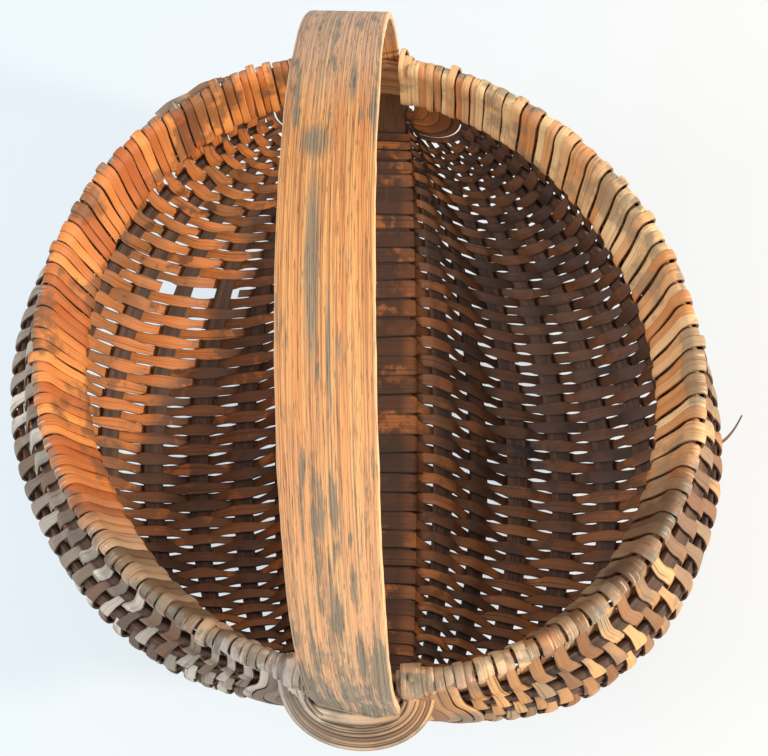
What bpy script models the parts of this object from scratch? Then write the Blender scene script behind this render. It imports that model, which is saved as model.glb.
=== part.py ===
"""A buttocks basket of split oak: a rim hoop and a handle hoop that cross at the two ears,
flat ribs that run from ear to ear and part into two lobes, and splint woven across them.

Lengths are in metres and angles in radians. X runs across the basket, Y from the near ear
to the far ear and Z up. Heights are counted from the rim's top edge. One empty lifts the
whole basket so that its lobes stand on Z = 0, and centres it over the origin.
"""

import math

import bmesh
import bpy
from mathutils import Vector
from mathutils.geometry import interpolate_bezier

# Rim hoop
RIM_RADIUS = 0.165
RIM_WIDTH = 0.027
RIM_THICKNESS = 0.004
RIM_BEVEL = 0.001
RIM_FLARE = math.radians(25)
RIM_SKEW = 0.047
RIM_SIDE_DIP = 0.008
RIM_LAP_ANGLE = math.radians(15)
RIM_LAP_SHOULDER = math.radians(0.4)

# Handle hoop, whose lower half is the keel
HANDLE_WIDTH = 0.039
HANDLE_THICKNESS = 0.0035
HANDLE_BEVEL = 0.0009
HANDLE_RISE = 0.134
HANDLE_FULLNESS = 1.9
HANDLE_END_DROP = 0.024
HANDLE_INNER_END_DROP = 0.002
HANDLE_SEGMENTS = 22
KEEL_DEPTH = 0.125
KEEL_FULLNESS = 0.2

# Lobes, in the middle of the basket
RIGHT_LOBE_BULGE = 0.012
LEFT_LOBE_BULGE = 0.027
LOBE_BULGE_DROP = 0.066
LOBE_DROP_BELOW_KEEL = 0.030
LOBE_SPACING = 0.170
LOBE_FULLNESS = 0.25
LOBE_LEAN = 0.020
LOBE_WEAR = 0.0017

# Ribs
RIBS_A_SIDE = 10
RIB_WIDTH = 0.0117
RIB_THICKNESS = 0.003
RIB_TIP_THICKNESS = 0.0016
RIB_THINS_FROM = math.radians(60)
RIB_END_TURN = math.radians(2)
RIB_DROP_BELOW_RIM = 0.004
FIRST_RIB_OFFSET = 0.0185
LAST_RIB_OFFSET = 0.018

# Woven splint
WEAVER_COUNT = 18
WEAVER_THICKNESS = 0.0011
WEAVER_GAP = 0.0028
WRAP_LEAVES_RIM = 0.002
WRAP_END_MARGIN = 0.002

# Ear lashings
LASHINGS_AN_EAR = 4
LASHING_GAP = 0.0022
LASHING_TURN = math.radians(3.1)
EAR_TURN = math.radians(12.5)

# Clearances
HOOP_CLEARANCE = 0.0008
LAP_CLEARANCE = 0.0003
WEAVE_CLEARANCE = 0.0005
WRAP_CLEARANCE = 0.0006
WEAVE_EASE = 0.0009

# A Bezier curve's handles that make a quarter turn round
ROUND_SHARE = 0.5523

# Steps along the curves
LAP_STEPS = 6
PROFILE_STEPS = 60
SMALL_TURN = 1e-4

# Sizes that follow
HALF_HANDLE = HANDLE_WIDTH / 2
HALF_LENGTH = RIM_RADIUS + HOOP_CLEARANCE + HANDLE_THICKNESS / 2
EAR_DROP = RIM_WIDTH + RIB_DROP_BELOW_RIM
LOBE_DEPTH = KEEL_DEPTH + LOBE_DROP_BELOW_KEEL
REST_DROP = LOBE_DEPTH - LOBE_WEAR
HALF_SPLINT = WEAVER_THICKNESS / 2
BASKET_LIFT = REST_DROP + RIB_THICKNESS / 2 + WEAVE_CLEARANCE + WEAVER_THICKNESS
LAP_STEP = HANDLE_THICKNESS + LAP_CLEARANCE
LASHING_END = math.pi / 2 - EAR_TURN
WEAVE_END = LASHING_END - LASHINGS_AN_EAR * LASHING_TURN
RIB_END = LASHING_END - RIB_END_TURN

NAME = "buttocks_basket"
UP = Vector((0, 0, 1))
FAR = math.pi / 2


def skewed(x, y, z):
    """The hoops are out of round: the far right and the near left are drawn in."""
    pull = 1 - 2 * RIM_SKEW * x * y / RIM_RADIUS**2
    return Vector((x * pull, y * pull, z))


def rim_frame(angle):
    """The middle of the rim band at an angle round the basket, with its up and outward directions."""

    def top_edge(turn):
        dip = RIM_SIDE_DIP * math.cos(turn) ** 2
        return skewed(RIM_RADIUS * math.cos(turn), RIM_RADIUS * math.sin(turn), -dip)

    along = top_edge(angle + SMALL_TURN) - top_edge(angle - SMALL_TURN)
    level_out = along.cross(UP).normalized()
    flare = RIM_FLARE * math.cos(angle) ** 2
    up = UP * math.cos(flare) + level_out * math.sin(flare)
    out = level_out * math.cos(flare) - UP * math.sin(flare)
    middle = top_edge(angle) - up * RIM_WIDTH / 2 - out * RIM_THICKNESS / 2
    return middle, up, out


def wrap_outline():
    """The middle line of splint that wraps the rim, as (outward, up) from the band's middle."""
    reach = RIM_THICKNESS / 2 + WRAP_CLEARANCE + HALF_SPLINT
    top = RIM_WIDTH / 2 + WRAP_CLEARANCE + HALF_SPLINT
    shoulder = RIM_WIDTH / 2 - WRAP_CLEARANCE
    crest = RIM_THICKNESS / 2 - WRAP_CLEARANCE
    return [
        (-reach, -RIM_WIDTH / 2 + WRAP_END_MARGIN),
        (-reach, shoulder),
        (-crest, top),
        (crest, top),
        (reach, shoulder),
        (reach, WRAP_LEAVES_RIM),
    ]


def lobe_profile(bulge):
    """One lobe's section at the middle of the basket, from the keel's edge to the rim, as (x, z)."""
    middle, up, out = rim_frame(0)
    outward, height = wrap_outline()[-1]
    leaves = middle + out * outward + up * height
    keel = Vector((HALF_HANDLE, -KEEL_DEPTH))
    low = Vector((LOBE_SPACING / 2, -LOBE_DEPTH))
    wide = Vector((RIM_RADIUS + bulge, -LOBE_BULGE_DROP))
    rim = Vector((leaves.x, leaves.z))
    across = Vector((low.x - keel.x, 0)) / 2
    outer_x = Vector((wide.x - low.x, 0)) * ROUND_SHARE
    outer_z = Vector((0, wide.y - low.y)) * ROUND_SHARE
    upper_z = Vector((0, rim.y - wide.y)) * ROUND_SHARE
    leaving = (rim - wide) / 3
    spans = [
        (keel, keel + across, low - across, low),
        (low, low + outer_x, wide - outer_z, wide),
        (wide, wide + upper_z, rim - leaving, rim),
    ]
    line = [keel]
    for span in spans:
        line += [Vector(p[:2]) for p in interpolate_bezier(*span, PROFILE_STEPS)[1:]]
    return line


class Profile:
    """A line in the X-Z plane, read by the distance along it."""

    def __init__(self, points):
        self.points = points
        self.distances = [0.0]
        for start, end in zip(points, points[1:]):
            self.distances.append(self.distances[-1] + (end - start).length)
        self.length = self.distances[-1]
        self.rib_pitch = (self.length - FIRST_RIB_OFFSET - LAST_RIB_OFFSET) / (RIBS_A_SIDE - 1)

    def at(self, distance):
        last = len(self.points) - 2
        index = sum(1 for d in self.distances[1:-1] if d <= distance)
        index = min(index, last)
        start, end = self.distances[index], self.distances[index + 1]
        return self.points[index].lerp(self.points[index + 1], (distance - start) / (end - start))


LOBES = {1: Profile(lobe_profile(RIGHT_LOBE_BULGE)), -1: Profile(lobe_profile(LEFT_LOBE_BULGE))}


def depth_share(turn):
    """How much of its full depth the basket has at a turn from the middle: less towards the ears."""
    return math.cos(turn) ** (1 - KEEL_FULLNESS)


def wall_point(side, distance, turn):
    """The wall's middle surface, at a distance from the keel's edge and a turn from the middle."""
    lobe = LOBES[side]
    flat = lobe.at(distance)
    slack = math.sin(math.pi * distance / lobe.length)
    across = (RIM_RADIUS * math.cos(turn) - HALF_HANDLE) / (RIM_RADIUS - HALF_HANDLE)
    x = HALF_HANDLE + (flat.x - HALF_HANDLE) * across ** (1 - LOBE_FULLNESS * slack)
    y = HALF_LENGTH * math.sin(turn) - LOBE_LEAN * slack * math.cos(turn)
    z = -EAR_DROP + (flat.y + EAR_DROP) * depth_share(turn)
    return skewed(side * x, y, max(z, -REST_DROP))


def strip_frame(inner, outer, along, outward_hint):
    """Middle, crosswise direction, outward normal and half width of a strip between two edge points."""
    cross = (outer - inner).normalized()
    normal = along.cross(cross).normalized()
    if normal.dot(outward_hint) < 0:
        normal.negate()
    return (inner + outer) / 2, cross, normal, (outer - inner).length / 2


def outward_from_centre(point):
    return point - Vector((0, 0, -EAR_DROP))


def rib_frame(side, number, turn):
    """The frame of a rib, counted from the keel, where it passes a turn from the middle."""
    distance = FIRST_RIB_OFFSET + number * LOBES[side].rib_pitch
    along = wall_point(side, distance, turn + SMALL_TURN) - wall_point(side, distance, turn - SMALL_TURN)
    inner = wall_point(side, distance - RIB_WIDTH / 2, turn)
    outer = wall_point(side, distance + RIB_WIDTH / 2, turn)
    return strip_frame(inner, outer, along, outward_from_centre(inner))


def rib_thickness(turn):
    """Full over most of a rib's length, and thinned in step with its width towards the ears."""
    narrowing = min(1, math.cos(turn) / math.cos(RIB_THINS_FROM))
    return max(RIB_TIP_THICKNESS, RIB_THICKNESS * narrowing)


def keel_place(turn):
    """The keel's middle line, as (y, z)."""
    return HALF_LENGTH * math.sin(turn), -EAR_DROP - (KEEL_DEPTH - EAR_DROP) * depth_share(turn)


def hoop_frame(y, z, along):
    """The frame of the handle hoop where its middle line passes (y, z)."""
    inner, outer = skewed(-HALF_HANDLE, y, z), skewed(HALF_HANDLE, y, z)
    return strip_frame(inner, outer, along, outward_from_centre((inner + outer) / 2))


def keel_frame(turn):
    (y0, z0), (y1, z1) = keel_place(turn - SMALL_TURN), keel_place(turn + SMALL_TURN)
    return hoop_frame(*keel_place(turn), Vector((0, y1 - y0, z1 - z0)))


def section(frame, thickness, bevel=0):
    """The corners of a strip's cross-section, in order round it."""
    middle, cross, normal, half = frame
    deep = thickness / 2
    corners = [(half, deep), (half, -deep), (-half, -deep), (-half, deep)]
    if bevel:
        wide, high = half - bevel, deep - bevel
        corners = [(wide, deep), (half, high), (half, -high), (wide, -deep)]
        corners += [(-x, -y) for x, y in corners]
    return [middle + cross * x + normal * y for x, y in corners]


def link(name, mesh, material):
    """Puts a named object with its material in the basket's collection, under the lifting empty."""
    for face in mesh.polygons:
        face.use_smooth = False
    mesh.materials.append(material)
    piece = bpy.data.objects.new(name, mesh)
    piece.parent = LIFT
    PARTS.objects.link(piece)
    return piece


def loft(name, sections, material):
    """One closed body through unlike sections that have the same number of corners."""
    bm = bmesh.new()
    rings = [[bm.verts.new(corner) for corner in corners] for corners in sections]
    for ring, following in zip(rings, rings[1:]):
        for index in range(len(ring)):
            after = (index + 1) % len(ring)
            bm.faces.new((ring[index], ring[after], following[after]))
            bm.faces.new((ring[index], following[after], following[index]))
    bm.faces.new(rings[0])
    bm.faces.new(rings[-1])
    bmesh.ops.recalc_face_normals(bm, faces=bm.faces)
    mesh = bpy.data.meshes.new(name)
    bm.to_mesh(mesh)
    bm.free()
    return link(name, mesh, material)


def splint(name, low_edge, high_edge, material):
    """A thin strip between two edge lines: a grid laid on them and given its thickness."""
    last = len(low_edge) - 1
    bm = bmesh.new()
    bmesh.ops.create_grid(bm, x_segments=last, y_segments=1, size=1)
    rows = {}
    for vert in bm.verts:
        rows[vert.co.y > 0, round((vert.co.x + 1) / 2 * last)] = vert
    for (high, index), vert in rows.items():
        vert.co = high_edge[index] if high else low_edge[index]
    for index in range(last):
        bmesh.ops.connect_verts(bm, verts=[rows[True, index], rows[False, index + 1]])
    mesh = bpy.data.meshes.new(name)
    bm.to_mesh(mesh)
    bm.free()
    piece = link(name, mesh, material)
    thick = piece.modifiers.new("splint thickness", "SOLIDIFY")
    thick.thickness = WEAVER_THICKNESS
    thick.offset = 0
    thick.use_even_offset = True
    return piece


def wood(name, colour, roughness):
    material = bpy.data.materials.new(name)
    material.use_nodes = True
    shader = material.node_tree.nodes["Principled BSDF"]
    shader.inputs["Base Color"].default_value = (*colour, 1)
    shader.inputs["Roughness"].default_value = roughness
    shader.inputs["Metallic"].default_value = 0
    return material


def spaced(start, end, count):
    """Evenly spaced values from start to end, with both ends, over a number of steps."""
    return [start + (end - start) * i / count for i in range(count + 1)]


ROW_LINES = spaced(-WEAVE_END, WEAVE_END, WEAVER_COUNT)
EAR_LINES = spaced(WEAVE_END, LASHING_END, LASHINGS_AN_EAR)


def make_rim_hoop(material):
    """The rim band, whose half-thick ends lap at the far ear under the handle."""
    half, middle_gap = RIM_THICKNESS / 2, LAP_CLEARANCE / 2
    lap_start, lap_end = FAR + RIM_LAP_ANGLE, FAR - RIM_LAP_ANGLE
    shoulder = lap_end - RIM_LAP_SHOULDER

    def rim_section(angle, inner, outer):
        middle, up, out = rim_frame(angle)
        centre = middle + out * (inner + outer) / 2
        thickness = outer - inner
        bevel = RIM_BEVEL * thickness / RIM_THICKNESS
        return section((centre, up, out, RIM_WIDTH / 2), thickness, bevel)

    right = [angle for angle in EAR_LINES[::-1] + ROW_LINES[-2:0:-1] if angle < shoulder]
    right += [-angle for angle in EAR_LINES]
    left = [-math.pi - angle for angle in right[::-1]]
    full = [shoulder, *right, -FAR, *left, -math.pi - shoulder]
    sections = [rim_section(turn, -half, -middle_gap) for turn in spaced(lap_start, lap_end, LAP_STEPS)]
    sections += [rim_section(turn, -half, half) for turn in full]
    sections += [
        rim_section(turn - 2 * math.pi, middle_gap, half)
        for turn in spaced(lap_start, lap_end, LAP_STEPS)
    ]
    return loft("rim_hoop", sections, material)


def make_handle_hoop(material):
    """The handle's arch, its two legs and the keel, in one strip whose ends lap at the near ear."""
    near_out = -HALF_LENGTH - LAP_STEP
    arch_middle = (near_out + HALF_LENGTH) / 2
    arch_half = (HALF_LENGTH - near_out) / 2

    def arch_place(turn):
        power = 2 / HANDLE_FULLNESS
        across = math.copysign(abs(math.cos(turn)) ** power, -math.cos(turn))
        return arch_middle + arch_half * across, HANDLE_RISE * math.sin(turn) ** power

    arch = [arch_place(turn) for turn in spaced(0, math.pi, HANDLE_SEGMENTS)[:-1]]
    before = [(near_out, -HANDLE_END_DROP), *arch]
    after = [*arch[1:], (HALF_LENGTH, 0)]
    frames = [hoop_frame(near_out, -HANDLE_END_DROP, UP)]
    for (y0, z0), (y, z), (y1, z1) in zip(before, arch, after):
        frames.append(hoop_frame(y, z, Vector((0, y1 - y0, z1 - z0))))
    ear_turns = [*EAR_LINES[1:], (LASHING_END + FAR) / 2]
    keel_turns = ear_turns[::-1] + ROW_LINES[::-1] + [-turn for turn in ear_turns]
    frames += [hoop_frame(HALF_LENGTH, z, -UP) for z in (0, -EAR_DROP)]
    frames += [keel_frame(turn) for turn in keel_turns]
    frames += [hoop_frame(-HALF_LENGTH, z, UP) for z in (-EAR_DROP, -HANDLE_INNER_END_DROP)]
    sections = [section(frame, HANDLE_THICKNESS, HANDLE_BEVEL) for frame in frames]
    return loft("handle_hoop", sections, material)


def make_ribs(material):
    """The ribs of both lobes, counted from the keel, narrowed towards both ears."""
    ear_turns = [turn for turn in EAR_LINES[1:] if turn < RIB_END] + [RIB_END]
    turns = [-turn for turn in ear_turns[::-1]] + ROW_LINES + ear_turns
    for side, word in ((1, "right"), (-1, "left")):
        for number in range(RIBS_A_SIDE):
            sections = [section(rib_frame(side, number, turn), rib_thickness(turn)) for turn in turns]
            loft(f"rib_{word}_{number + 1:02d}", sections, material)


def wrap_points(side, turn):
    """The wrap round the rim at one row line, from its inner end to where it leaves the rim."""
    middle, up, out = rim_frame(turn if side > 0 else math.pi - turn)
    return [middle + out * x + up * y for x, y in wrap_outline()]


def crossing(frame, thickness, over, side):
    """The two stations of a weaver where it passes over or under one strip."""
    middle, cross, normal, half = frame
    reach = normal * over * (thickness / 2 + WEAVE_CLEARANCE + HALF_SPLINT)
    spread = cross * (half + WEAVE_EASE)
    pair = [middle - spread + reach, middle + spread + reach]
    return pair if side > 0 else pair[::-1]


def weaver_line(turn, parity):
    """A weaver's middle line along one row line, from the left rim to the right rim."""
    thickness = rib_thickness(turn)
    line = wrap_points(-1, turn)
    over = 1 if parity else -1
    for number in reversed(range(RIBS_A_SIDE)):
        line += crossing(rib_frame(-1, number, turn), thickness, over, -1)
        over = -over
    line += crossing(keel_frame(turn), HANDLE_THICKNESS, over, 1)
    for number in range(RIBS_A_SIDE):
        over = -over
        line += crossing(rib_frame(1, number, turn), thickness, over, 1)
    return line + wrap_points(1, turn)[::-1]


def between(low, high, turn, gap):
    """The two edge lines of a strip that leaves half a gap at each of its row lines, a turn apart."""
    share = gap / 2 / (HALF_LENGTH * turn)
    pairs = list(zip(low, high))
    return [a.lerp(b, share) for a, b in pairs], [a.lerp(b, 1 - share) for a, b in pairs]


def make_weavers(material):
    """Woven strips that pass over and under in turn, each from rim to rim."""
    for row, (low, high) in enumerate(zip(ROW_LINES, ROW_LINES[1:])):
        parity = row % 2
        edges = between(weaver_line(low, parity), weaver_line(high, parity), high - low, WEAVER_GAP)
        splint(f"weaver_{row + 1:02d}", *edges, material)


def lashing_line(turn):
    """A lashing's middle line, from rim to rim outside the rib ends and the keel."""
    reach = HANDLE_THICKNESS / 2 + WEAVE_CLEARANCE + HALF_SPLINT
    line = wrap_points(-1, turn)
    frames = [rib_frame(-1, number, turn) for number in reversed(range(1, RIBS_A_SIDE))]
    line += [middle + normal * reach for middle, cross, normal, half in frames]
    middle, cross, normal, half = keel_frame(turn)
    line += [middle - cross * half + normal * reach, middle + cross * half + normal * reach]
    frames = [rib_frame(1, number, turn) for number in range(1, RIBS_A_SIDE)]
    line += [middle + normal * reach for middle, cross, normal, half in frames]
    return line + wrap_points(1, turn)[::-1]


def make_lashings(material):
    """Bindings round each ear, side by side from the last weaver to the handle."""
    for word, sign in (("near", -1), ("far", 1)):
        for number, (low, high) in enumerate(zip(EAR_LINES, EAR_LINES[1:])):
            lines = lashing_line(sign * low), lashing_line(sign * high)
            edges = between(*lines, high - low, LASHING_GAP)
            splint(f"{word}_lashing_{number + 1}", *edges, material)


def centre_in_plan():
    """Moves the basket so that its bounding box is centred on X = 0 and Y = 0."""
    bpy.context.view_layer.update()
    graph = bpy.context.evaluated_depsgraph_get()
    solids = [piece.evaluated_get(graph) for piece in PARTS.objects if piece.type == "MESH"]
    corners = [solid.matrix_world @ Vector(corner) for solid in solids for corner in solid.bound_box]
    for axis in (0, 1):
        places = [corner[axis] for corner in corners]
        LIFT.location[axis] -= (min(places) + max(places)) / 2


for old in list(bpy.data.objects):
    bpy.data.objects.remove(old, do_unlink=True)

PARTS = bpy.data.collections.new(NAME)
bpy.context.scene.collection.children.link(PARTS)
LIFT = bpy.data.objects.new("basket_lift", None)
LIFT.location.z = BASKET_LIFT
PARTS.objects.link(LIFT)

make_rim_hoop(wood("rim_oak", (0.36, 0.17, 0.07), 0.6))
make_handle_hoop(wood("handle_oak", (0.48, 0.25, 0.10), 0.55))
make_ribs(wood("rib_oak", (0.20, 0.09, 0.04), 0.7))
make_weavers(wood("weaver_splint", (0.27, 0.13, 0.06), 0.65))
make_lashings(wood("lashing_splint", (0.33, 0.20, 0.11), 0.65))
centre_in_plan()
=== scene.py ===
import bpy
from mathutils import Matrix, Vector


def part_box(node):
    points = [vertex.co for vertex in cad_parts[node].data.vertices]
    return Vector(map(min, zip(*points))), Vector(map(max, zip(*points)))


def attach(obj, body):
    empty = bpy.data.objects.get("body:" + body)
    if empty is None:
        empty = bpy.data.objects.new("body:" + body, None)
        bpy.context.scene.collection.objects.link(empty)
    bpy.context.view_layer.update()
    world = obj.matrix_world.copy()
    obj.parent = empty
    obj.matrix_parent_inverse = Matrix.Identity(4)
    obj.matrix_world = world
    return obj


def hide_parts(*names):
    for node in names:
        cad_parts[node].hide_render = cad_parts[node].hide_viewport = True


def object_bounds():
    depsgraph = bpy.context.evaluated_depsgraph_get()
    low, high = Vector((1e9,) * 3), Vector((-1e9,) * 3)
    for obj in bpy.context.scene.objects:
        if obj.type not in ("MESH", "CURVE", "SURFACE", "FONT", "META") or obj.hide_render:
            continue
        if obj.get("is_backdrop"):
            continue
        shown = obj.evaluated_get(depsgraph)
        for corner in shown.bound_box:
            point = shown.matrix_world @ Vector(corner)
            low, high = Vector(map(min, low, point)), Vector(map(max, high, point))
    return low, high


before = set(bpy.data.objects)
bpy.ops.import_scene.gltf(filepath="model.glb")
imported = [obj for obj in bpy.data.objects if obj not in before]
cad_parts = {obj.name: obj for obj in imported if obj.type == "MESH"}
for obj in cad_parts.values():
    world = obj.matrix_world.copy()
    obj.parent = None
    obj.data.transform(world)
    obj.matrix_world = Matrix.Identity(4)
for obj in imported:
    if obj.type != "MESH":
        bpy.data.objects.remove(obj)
CAD_BOX = [list(corner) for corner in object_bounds()]

# %% [markdown]
# # A buttocks basket of split oak
# The real basket is two crossed hoops, twenty flat ribs that run from ear to ear, and thin
# splint woven across them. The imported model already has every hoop, rib and lashing in its
# place, but each of its weavers stands for three or four rows of real splint.
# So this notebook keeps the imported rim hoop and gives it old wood, and lays finer pieces over
# the rest: ribs with rounded edges, and single rows that bulge over the ribs and wrap the rim.

# %% Tools and the sizes that this notebook shares with the model
import math
from bisect import bisect_right
from functools import partial

import bmesh
import bpy
import numpy as np
from mathutils import Matrix, Vector, noise
from mathutils.geometry import interpolate_bezier

# The rim hoop leans outwards at its sides, dips there, and is a little out of round.
RIM_RADIUS, RIM_WIDTH, RIM_THICKNESS = 0.165, 0.027, 0.004
RIM_FLARE, RIM_SKEW, RIM_SIDE_DIP = math.radians(25), 0.047, 0.008
# The handle hoop is an arch above the rim and the keel below it, and laps at the near ear.
HANDLE_WIDTH, HANDLE_THICKNESS, LAP_STEP = 0.039, 0.0035, 0.0038
HANDLE_RISE, HANDLE_FULLNESS, HANDLE_END_DROP, INNER_END_DROP = 0.134, 1.9, 0.024, 0.002
KEEL_DEPTH, KEEL_FULLNESS, EAR_DROP = 0.125, 0.2, 0.031
HALF_HANDLE, HALF_LENGTH = HANDLE_WIDTH / 2, 0.16755
# The left lobe (-1) bulges more than the right one (1), and both are worn flat underneath.
LOBE_BULGE, LOBE_BULGE_DROP, LOBE_DEPTH = {1: 0.012, -1: 0.027}, 0.066, 0.155
LOBE_SPACING, LOBE_FULLNESS, LOBE_LEAN, LOBE_WEAR = 0.170, 0.25, 0.020, 0.0017
# Ribs, and how far from the middle of the basket, as a turn, the weave and the ribs end.
RIBS_A_SIDE, RIB_WIDTH, RIB_THICKNESS, RIB_TIP = 10, 0.0117, 0.003, 0.0016
FIRST_RIB_OFFSET, LAST_RIB_OFFSET, RIB_NARROWS = 0.0185, 0.018, math.radians(60)
WEAVE_END, LASHING_END, RIB_END = math.radians(65.1), math.radians(77.5), math.radians(75.5)
# Splint: how many weavers and lashings the model has, its thickness, and its gap to the rim.
WEAVER_COUNT, LASHINGS_AN_EAR, SPLINT, WRAP_CLEARANCE = 18, 4, 0.0011, 0.0006
RIM_HEIGHT = 0.1564  # from the floor to the rim's top edge at the ears
UP = Vector((0, 0, 1))

low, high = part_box("handle_hoop")
LIFT = Vector(((low.x + high.x) / 2, (low.y + high.y + LAP_STEP) / 2, RIM_HEIGHT))
print("the rim's centre is over", [round(v * 1000, 2) for v in LIFT], "mm")

# %% [markdown]
# ## Where everything lies
# A woven thing looks right only when every strip follows the same wall. The wall here is one
# function: a distance from the keel and a turn from the middle of the basket give a point.
# Ribs run along it at a fixed distance, and rows of splint run across it at a fixed turn.
# A modelled surface with everything shrink-wrapped to it could do the same, but a function
# also gives directions, so each strip knows which way is along, across and outwards.

# %% The rim's frame
SMALL_TURN = 1e-4  # small enough for two points this far apart to give a direction


def skewed(x, y, z):
    """The hoops are out of round: two opposite quarters are pushed in and two are drawn out."""
    pull = 1 - 2 * RIM_SKEW * x * y / RIM_RADIUS**2
    return Vector((x * pull, y * pull, z))


def rim_frame(angle):
    """The middle of the rim band at an angle round the basket, with its up and outward directions."""

    def top_edge(turn):
        dip = RIM_SIDE_DIP * math.cos(turn) ** 2
        return skewed(RIM_RADIUS * math.cos(turn), RIM_RADIUS * math.sin(turn), -dip)

    along = top_edge(angle + SMALL_TURN) - top_edge(angle - SMALL_TURN)
    level_out = along.cross(UP).normalized()
    flare = RIM_FLARE * math.cos(angle) ** 2
    up = UP * math.cos(flare) + level_out * math.sin(flare)
    out = level_out * math.cos(flare) - UP * math.sin(flare)
    return top_edge(angle) - up * RIM_WIDTH / 2 - out * RIM_THICKNESS / 2, up, out


print("the rim at the right side leans by", round(math.degrees(math.acos(rim_frame(0)[1].z))), "degrees")

# %% The lobes' wall
SPLINT_LEAVES = 0.002  # above the rim's middle, where the wall meets the outside of the rim
POINTS_A_SPAN = 60
ROUND_SHARE = 0.5523  # Bezier handles of this share of the radius make a quarter circle


class Lobe:
    """One lobe's section at the middle of the basket, read by the distance from the keel's edge."""

    def __init__(self, bulge):
        middle, up, out = rim_frame(0)
        reach = RIM_THICKNESS / 2 + WRAP_CLEARANCE + SPLINT / 2
        leaves = middle + out * reach + up * SPLINT_LEAVES
        keel, low = Vector((HALF_HANDLE, -KEEL_DEPTH)), Vector((LOBE_SPACING / 2, -LOBE_DEPTH))
        wide, rim = Vector((RIM_RADIUS + bulge, -LOBE_BULGE_DROP)), Vector((leaves.x, leaves.z))
        across = Vector((low.x - keel.x, 0)) / 2
        outer_x = Vector((wide.x - low.x, 0)) * ROUND_SHARE
        outer_z = Vector((0, wide.y - low.y)) * ROUND_SHARE
        upper_z, leaving = Vector((0, rim.y - wide.y)) * ROUND_SHARE, (rim - wide) / 3
        spans = [
            (keel, keel + across, low - across, low),
            (low, low + outer_x, wide - outer_z, wide),
            (wide, wide + upper_z, rim - leaving, rim),
        ]
        self.line = [keel]
        for span in spans:
            self.line += [Vector(p[:2]) for p in interpolate_bezier(*span, POINTS_A_SPAN)[1:]]
        steps = [(b - a).length for a, b in zip(self.line, self.line[1:])]
        self.distances = [sum(steps[:i]) for i in range(len(steps) + 1)]
        self.length = self.distances[-1]
        self.pitch = (self.length - FIRST_RIB_OFFSET - LAST_RIB_OFFSET) / (RIBS_A_SIDE - 1)

    def at(self, distance):
        index = min(max(bisect_right(self.distances, distance) - 1, 0), len(self.line) - 2)
        start, end = self.distances[index], self.distances[index + 1]
        return self.line[index].lerp(self.line[index + 1], (distance - start) / (end - start))


LOBES = {side: Lobe(bulge) for side, bulge in LOBE_BULGE.items()}


def depth_share(turn):
    return math.cos(turn) ** (1 - KEEL_FULLNESS)


def wall_point(side, distance, turn):
    """The wall's middle surface, at a distance from the keel's edge and a turn from the middle.

    slack is 0 at the keel and the rim, which hold the wall, and 1 halfway between them.
    """
    lobe = LOBES[side]
    flat = lobe.at(distance)
    slack = math.sin(math.pi * distance / lobe.length)
    across = (RIM_RADIUS * math.cos(turn) - HALF_HANDLE) / (RIM_RADIUS - HALF_HANDLE)
    x = HALF_HANDLE + (flat.x - HALF_HANDLE) * across ** (1 - LOBE_FULLNESS * slack)
    y = HALF_LENGTH * math.sin(turn) - LOBE_LEAN * slack * math.cos(turn)
    z = -EAR_DROP + (flat.y + EAR_DROP) * depth_share(turn)
    return skewed(side * x, y, max(z, LOBE_WEAR - LOBE_DEPTH))


print("wall lengths", {side: round(lobe.length * 1000) for side, lobe in LOBES.items()}, "mm")

# %% Frames of the ribs, the keel and the handle


def strip_frame(inner, outer, along):
    """Middle, crosswise direction, outward normal and half width between two edge points."""
    cross = (outer - inner).normalized()
    normal = along.cross(cross).normalized()
    if normal.dot(inner + UP * EAR_DROP) < 0:
        normal.negate()
    return (inner + outer) / 2, cross, normal, (outer - inner).length / 2


def rib_frame(side, number, turn):
    distance = FIRST_RIB_OFFSET + number * LOBES[side].pitch
    along = wall_point(side, distance, turn + SMALL_TURN) - wall_point(side, distance, turn - SMALL_TURN)
    inner = wall_point(side, distance - RIB_WIDTH / 2, turn)
    return strip_frame(inner, wall_point(side, distance + RIB_WIDTH / 2, turn), along)


def rib_thickness(turn):
    narrowing = min(1, math.cos(turn) / math.cos(RIB_NARROWS))
    return max(RIB_TIP, RIB_THICKNESS * narrowing)


def hoop_frame(y, z, along):
    return strip_frame(skewed(-HALF_HANDLE, y, z), skewed(HALF_HANDLE, y, z), along)


def keel_place(turn):
    return HALF_LENGTH * math.sin(turn), -EAR_DROP - (KEEL_DEPTH - EAR_DROP) * depth_share(turn)


def keel_frame(turn):
    (y0, z0), (y1, z1) = keel_place(turn - SMALL_TURN), keel_place(turn + SMALL_TURN)
    return hoop_frame(*keel_place(turn), Vector((0, y1 - y0, z1 - z0)))


print("a rib every", {side: round(lobe.pitch * 1000, 1) for side, lobe in LOBES.items()}, "mm")

# %% [markdown]
# ## Two ways to lay a mesh
# A hoop or a rib is a bar: a grid is rolled round a rounded section and its seam is merged.
# Splint is a thin strip: a flat grid is laid on its path and Solidify gives it a thickness.
# A curve with a bevel could make either, but it turns its section by its own rule, and here
# the wall says which way each strip faces. Both store where each point lies along and across
# the strip, so a pattern of grain that reads those numbers can never run the wrong way.

# %% Pieces that know their grain


def drift(place, seed):
    """A smooth random value from about -1 to 1."""
    return noise.noise(Vector((place, seed * 7.31, seed * 1.7)))


def new_piece(name, bm, materials):
    mesh = bpy.data.meshes.new(name)
    bm.to_mesh(mesh)
    bm.free()
    for material in materials:
        mesh.materials.append(material)
    piece = bpy.data.objects.new(name, mesh)
    bpy.context.scene.collection.objects.link(piece)
    return piece


def grained_mesh():
    """An empty mesh whose points can hold their place in the grain, a tone and a share of wrap."""
    bm = bmesh.new()
    bm.verts.layers.float_vector.new("grain")
    for name in ("tone", "wrap"):
        bm.verts.layers.float.new(name)
    return bm


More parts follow.
